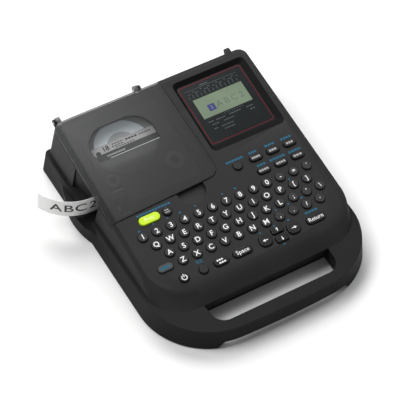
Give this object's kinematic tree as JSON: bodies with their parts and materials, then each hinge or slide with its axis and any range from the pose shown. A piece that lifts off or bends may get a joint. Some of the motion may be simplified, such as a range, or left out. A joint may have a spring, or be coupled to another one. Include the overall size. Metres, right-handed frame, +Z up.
{
  "type": "label maker",
  "caption": "Portable keyboard label printer with a sloped deck, display, hinged cartridge lid, tape feed mechanism and a carrying handle moulded in its tray.",
  "frame": {"origin": "middle of the tray's underside, 1 mm above the surface its feet stand on", "axes": "+Z up, +Y towards the rear of the machine (away from the carrying handle), +X to the user's right"},
  "size_m": [0.1781, 0.1882, 0.0501],
  "materials": {
    "tray_plastic": "matt charcoal, finely grained",
    "case_plastic": "matt charcoal, finely grained",
    "lid_smoke": "smoked translucent plastic",
    "clear_window": "clear plastic",
    "display_glass": "tinted clear plastic",
    "lcd": "olive display",
    "round_key": "charcoal",
    "function_key": "black",
    "print_green": "lime green",
    "mat_rubber": "silicone",
    "board_green": "circuit board",
    "inner_plastic": "black moulded",
    "sheet_steel": "zinc plated",
    "cartridge_plastic": "grey moulded",
    "tape_film": "white film",
    "ribbon_film": "black ribbon",
    "roller_rubber": "matt",
    "gear_nylon": "white moulded",
    "motor_can": "drawn can",
    "aluminium_fin": "bare",
    "cell_wrap": "plain wrap",
    "screw_steel": "plated",
    "foot_rubber": "matt"
  },
  "bodies": {
    "case": {"lower_case": "tray_plastic", "upper_case": "case_plastic", "lid_hinge_pins": "screw_steel", "display_window": "display_glass", "lcd_module": "lcd", "key_mat": "mat_rubber", "main_board": "board_green", "bay_liner": "inner_plastic", "mechanism_plate": "sheet_steel", "tape_cartridge": "cartridge_plastic", "feed_motor": "motor_can", "gear_axles": "sheet_steel", "print_head": "inner_plastic", "head_bracket": "aluminium_fin", "cutter_fixed_blade": "sheet_steel", "cutter_motor": "motor_can", "printed_label": "tape_film", "batteries": "cell_wrap", "battery_contacts": "sheet_steel", "power_jack": "inner_plastic", "case_screws": "screw_steel", "rubber_feet": "foot_rubber"},
    "cartridge_lid": {"cartridge_lid": "lid_smoke", "lid_window": "clear_window"},
    "battery_door": {"battery_door": "tray_plastic"},
    "number_keys": {"number_keys": "round_key"},
    "upper_letter_keys": {"upper_letter_keys": "round_key"},
    "middle_letter_keys": {"middle_letter_keys": "round_key"},
    "lower_letter_keys": {"lower_letter_keys": "round_key"},
    "print_key": {"print_key": "print_green"},
    "preview_key": {"preview_key": "round_key"},
    "menu_key": {"menu_key": "round_key"},
    "length_key": {"length_key": "function_key"},
    "size_key": {"size_key": "function_key"},
    "font_key": {"font_key": "function_key"},
    "accent_key": {"accent_key": "function_key"},
    "symbol_key": {"symbol_key": "function_key"},
    "barcode_key": {"barcode_key": "function_key"},
    "shift_key": {"shift_key": "function_key"},
    "power_key": {"power_key": "function_key"},
    "cancel_key": {"cancel_key": "round_key"},
    "lines_key": {"lines_key": "function_key"},
    "space_key": {"space_key": "function_key"},
    "left_key": {"left_key": "function_key"},
    "up_key": {"up_key": "function_key"},
    "down_key": {"down_key": "function_key"},
    "right_key": {"right_key": "function_key"},
    "return_key": {"return_key": "function_key"},
    "tape_roll": {"tape_roll": "tape_film"},
    "ribbon_supply": {"ribbon_supply": "ribbon_film"},
    "ribbon_drive": {"ribbon_spindle": "gear_nylon", "ribbon_takeup": "ribbon_film"},
    "platen": {"platen_roller": "roller_rubber", "platen_shaft": "sheet_steel", "platen_gear": "gear_nylon"},
    "idler_gear": {"idler_gear": "gear_nylon"},
    "reduction_gear": {"reduction_gear": "gear_nylon"},
    "motor_pinion": {"motor_pinion": "screw_steel"},
    "cutter_blade": {"cutter_moving_blade": "sheet_steel"}
  },
  "joints": [
    {"name": "lid_hinge", "type": "hinge", "parent": "case", "child": "cartridge_lid", "pos_m": [0, 0.08804, 0.04467], "axis": [-1, 0, 0], "range_deg": [0, 95]},
    {"name": "battery_door_hinge", "type": "hinge", "parent": "case", "child": "battery_door", "pos_m": [0, -0.0035, 0.001], "axis": [1, 0, 0], "range_deg": [0, 95]},
    {"name": "number_keys_press", "type": "slide", "parent": "case", "child": "number_keys", "axis": [0, 0.1788, -0.9839], "range_m": [0, 0.001], "stiffness_N_per_m": 300},
    {"name": "upper_letter_keys_press", "type": "slide", "parent": "case", "child": "upper_letter_keys", "axis": [0, 0.1788, -0.9839], "range_m": [0, 0.001], "stiffness_N_per_m": 300},
    {"name": "middle_letter_keys_press", "type": "slide", "parent": "case", "child": "middle_letter_keys", "axis": [0, 0.1788, -0.9839], "range_m": [0, 0.001], "stiffness_N_per_m": 300},
    {"name": "lower_letter_keys_press", "type": "slide", "parent": "case", "child": "lower_letter_keys", "axis": [0, 0.1788, -0.9839], "range_m": [0, 0.001], "stiffness_N_per_m": 300},
    {"name": "print_key_press", "type": "slide", "parent": "case", "child": "print_key", "axis": [0, 0.1788, -0.9839], "range_m": [0, 0.001], "stiffness_N_per_m": 120},
    {"name": "preview_key_press", "type": "slide", "parent": "case", "child": "preview_key", "axis": [0, 0.1788, -0.9839], "range_m": [0, 0.001], "stiffness_N_per_m": 120},
    {"name": "menu_key_press", "type": "slide", "parent": "case", "child": "menu_key", "axis": [0, 0.1788, -0.9839], "range_m": [0, 0.001], "stiffness_N_per_m": 120},
    {"name": "length_key_press", "type": "slide", "parent": "case", "child": "length_key", "axis": [0, 0.1788, -0.9839], "range_m": [0, 0.001], "stiffness_N_per_m": 120},
    {"name": "size_key_press", "type": "slide", "parent": "case", "child": "size_key", "axis": [0, 0.1788, -0.9839], "range_m": [0, 0.001], "stiffness_N_per_m": 120},
    {"name": "font_key_press", "type": "slide", "parent": "case", "child": "font_key", "axis": [0, 0.1788, -0.9839], "range_m": [0, 0.001], "stiffness_N_per_m": 120},
    {"name": "accent_key_press", "type": "slide", "parent": "case", "child": "accent_key", "axis": [0, 0.1788, -0.9839], "range_m": [0, 0.001], "stiffness_N_per_m": 120},
    {"name": "symbol_key_press", "type": "slide", "parent": "case", "child": "symbol_key", "axis": [0, 0.1788, -0.9839], "range_m": [0, 0.001], "stiffness_N_per_m": 120},
    {"name": "barcode_key_press", "type": "slide", "parent": "case", "child": "barcode_key", "axis": [0, 0.1788, -0.9839], "range_m": [0, 0.001], "stiffness_N_per_m": 120},
    {"name": "shift_key_press", "type": "slide", "parent": "case", "child": "shift_key", "axis": [0, 0.1788, -0.9839], "range_m": [0, 0.001], "stiffness_N_per_m": 120},
    {"name": "power_key_press", "type": "slide", "parent": "case", "child": "power_key", "axis": [0, 0.1788, -0.9839], "range_m": [0, 0.001], "stiffness_N_per_m": 120},
    {"name": "cancel_key_press", "type": "slide", "parent": "case", "child": "cancel_key", "axis": [0, 0.1788, -0.9839], "range_m": [0, 0.001], "stiffness_N_per_m": 120},
    {"name": "lines_key_press", "type": "slide", "parent": "case", "child": "lines_key", "axis": [0, 0.1788, -0.9839], "range_m": [0, 0.001], "stiffness_N_per_m": 120},
    {"name": "space_key_press", "type": "slide", "parent": "case", "child": "space_key", "axis": [0, 0.1788, -0.9839], "range_m": [0, 0.001], "stiffness_N_per_m": 120},
    {"name": "left_key_press", "type": "slide", "parent": "case", "child": "left_key", "axis": [0, 0.1788, -0.9839], "range_m": [0, 0.001], "stiffness_N_per_m": 120},
    {"name": "up_key_press", "type": "slide", "parent": "case", "child": "up_key", "axis": [0, 0.1788, -0.9839], "range_m": [0, 0.001], "stiffness_N_per_m": 120},
    {"name": "down_key_press", "type": "slide", "parent": "case", "child": "down_key", "axis": [0, 0.1788, -0.9839], "range_m": [0, 0.001], "stiffness_N_per_m": 120},
    {"name": "right_key_press", "type": "slide", "parent": "case", "child": "right_key", "axis": [0, 0.1788, -0.9839], "range_m": [0, 0.001], "stiffness_N_per_m": 120},
    {"name": "return_key_press", "type": "slide", "parent": "case", "child": "return_key", "axis": [0, 0.1788, -0.9839], "range_m": [0, 0.001], "stiffness_N_per_m": 120},
    {"name": "cutter_stroke", "type": "slide", "parent": "case", "child": "cutter_blade", "axis": [0, -0.9839, -0.1788], "range_m": [0, 0.0025]},
    {"name": "tape_roll_spin", "type": "hinge", "parent": "case", "child": "tape_roll", "pos_m": [-0.0345, 0.05808, 0.02383], "axis": [0, -0.1788, 0.9839], "continuous": true},
    {"name": "platen_spin", "type": "hinge", "parent": "case", "child": "platen", "pos_m": [-0.0545, 0.03688, 0.01997], "axis": [0, -0.1788, 0.9839], "continuous": true},
    {"name": "idler_gear_spin", "type": "hinge", "parent": "case", "child": "idler_gear", "pos_m": [-0.04229, 0.04255, 0.021], "axis": [0, -0.1788, 0.9839], "continuous": true},
    {"name": "ribbon_drive_spin", "type": "hinge", "parent": "case", "child": "ribbon_drive", "pos_m": [-0.035, 0.02965, 0.01866], "axis": [0, -0.1788, 0.9839], "continuous": true},
    {"name": "reduction_gear_spin", "type": "hinge", "parent": "case", "child": "reduction_gear", "pos_m": [-0.03243, 0.06079, 0.02432], "axis": [0, -0.1788, 0.9839], "continuous": true},
    {"name": "motor_pinion_spin", "type": "hinge", "parent": "case", "child": "motor_pinion", "pos_m": [-0.02094, 0.07028, 0.02604], "axis": [0, -0.1788, 0.9839], "continuous": true},
    {"name": "ribbon_supply_spin", "type": "hinge", "parent": "case", "child": "ribbon_supply", "pos_m": [-0.0115, 0.03112, 0.01893], "axis": [0, -0.1788, 0.9839], "continuous": true}
  ],
  "couplings": [
    {"joint": "platen_spin", "follows": "tape_roll_spin", "ratio": 5.05},
    {"joint": "idler_gear_spin", "follows": "tape_roll_spin", "ratio": -2.525},
    {"joint": "ribbon_drive_spin", "follows": "tape_roll_spin", "ratio": 3.7875},
    {"joint": "reduction_gear_spin", "follows": "tape_roll_spin", "ratio": 1.8938},
    {"joint": "motor_pinion_spin", "follows": "tape_roll_spin", "ratio": -7.575},
    {"joint": "ribbon_supply_spin", "follows": "tape_roll_spin", "ratio": 3.3667}
  ]
}
